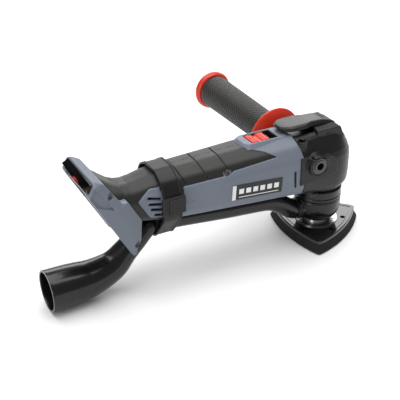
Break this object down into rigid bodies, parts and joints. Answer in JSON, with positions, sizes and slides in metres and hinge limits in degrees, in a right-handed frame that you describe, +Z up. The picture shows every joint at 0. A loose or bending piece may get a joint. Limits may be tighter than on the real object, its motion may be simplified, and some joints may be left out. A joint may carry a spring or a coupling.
{
  "type": "cordless oscillating multi-tool",
  "caption": "Bare cordless oscillating multi-tool with slide switch, quick-clamp lever, side handle, strapped dust pipe and a delta sanding pad.",
  "frame": {"origin": "on the sanding sole, under the spindle axis", "axes": "+X forwards from the battery foot to the head, +Y towards the side handle, +Z up along the spindle axis"},
  "size_m": [0.3696, 0.2405, 0.1433],
  "materials": {
    "shell_grey": "fine moulded texture",
    "grip_rubber": "soft matt overmould",
    "head_casting": "dark satin paint on a casting",
    "black_plastic": "satin moulded",
    "duct_plastic": "semi-gloss moulded",
    "orange_plastic": "satin moulded",
    "handle_rubber": "diamond pattern",
    "strap_rubber": "smooth",
    "pad_plastic": "glossy",
    "pad_foam": "fine open-cell foam",
    "hook_fabric": "hook-and-loop hooks",
    "zinc_steel": "zinc plated",
    "dark_steel": "blackened",
    "bearing_steel": "ground",
    "lamination": "varnished",
    "copper_wire": "enamelled copper",
    "contact_brass": "plated",
    "carbon": "graphite",
    "circuit_board": "solder mask",
    "label_film": "printed film",
    "wire_insulation": "flexible insulation"
  },
  "bodies": {
    "housing": {"left_shell": "shell_grey", "right_shell": "shell_grey", "left_grip": "grip_rubber", "right_grip": "grip_rubber", "shell_screws": "dark_steel", "rating_label": "label_film", "switch_module": "black_plastic", "controller_board": "circuit_board", "battery_leads": "wire_insulation", "terminal_block": "black_plastic", "terminal_blades": "contact_brass", "terminal_clip": "zinc_steel", "terminal_button": "orange_plastic", "gear_housing": "head_casting", "boss_inserts": "dark_steel", "head_screws": "dark_steel", "lever_pin": "zinc_steel", "lower_bearing": "bearing_steel", "upper_bearing": "bearing_steel", "bearing_cap": "zinc_steel", "motor_can": "zinc_steel", "motor_magnets": "carbon", "motor_end_cap": "black_plastic", "brushes": "carbon", "shaft_bearings": "bearing_steel", "handle_core": "orange_plastic", "handle_grip": "handle_rubber", "handle_stud": "zinc_steel", "dust_collar": "duct_plastic", "dust_hood": "duct_plastic", "collar_clip": "duct_plastic", "pipe_ring": "black_plastic", "dust_pipe": "duct_plastic", "pipe_cradle": "black_plastic", "strap": "strap_rubber", "strap_buckle": "black_plastic"},
    "switch": {"switch_slider": "orange_plastic", "switch_rod": "black_plastic"},
    "lever": {"clamp_lever": "head_casting"},
    "drawbar": {"drawbar": "zinc_steel"},
    "spindle": {"spindle": "bearing_steel", "fork": "bearing_steel", "clamp_spring": "zinc_steel", "pad_hub": "zinc_steel", "pad_plate": "pad_plastic", "pad_foam": "pad_foam", "hook_face": "hook_fabric"},
    "motor": {"motor_shaft": "bearing_steel", "rotor": "lamination", "windings": "copper_wire", "commutator": "copper_wire", "fan": "black_plastic", "eccentric": "bearing_steel", "eccentric_bearing": "bearing_steel"}
  },
  "joints": [
    {"name": "switch_slide", "type": "slide", "parent": "housing", "child": "switch", "axis": [1, 0, 0], "range_m": [0, 0.008]},
    {"name": "lever_hinge", "type": "hinge", "parent": "housing", "child": "lever", "pos_m": [0.003, 0, 0.1235], "axis": [0, 1, 0], "range_deg": [0, 110]},
    {"name": "spindle_turn", "type": "hinge", "parent": "housing", "child": "spindle", "pos_m": [0, 0, 0], "axis": [0, 0, 1], "range_deg": [-1.6, 1.6]},
    {"name": "drawbar_slide", "type": "slide", "parent": "spindle", "child": "drawbar", "axis": [0, 0, -1], "range_m": [0, 0.0025], "deforming": ["clamp_spring"]},
    {"name": "motor_spin", "type": "hinge", "parent": "housing", "child": "motor", "pos_m": [-0.08, 0, 0.0995], "axis": [1, 0, 0], "continuous": true}
  ],
  "couplings": [
    {"joint": "drawbar_slide", "follows": "lever_hinge", "m_per_rad": 0.0013}
  ]
}
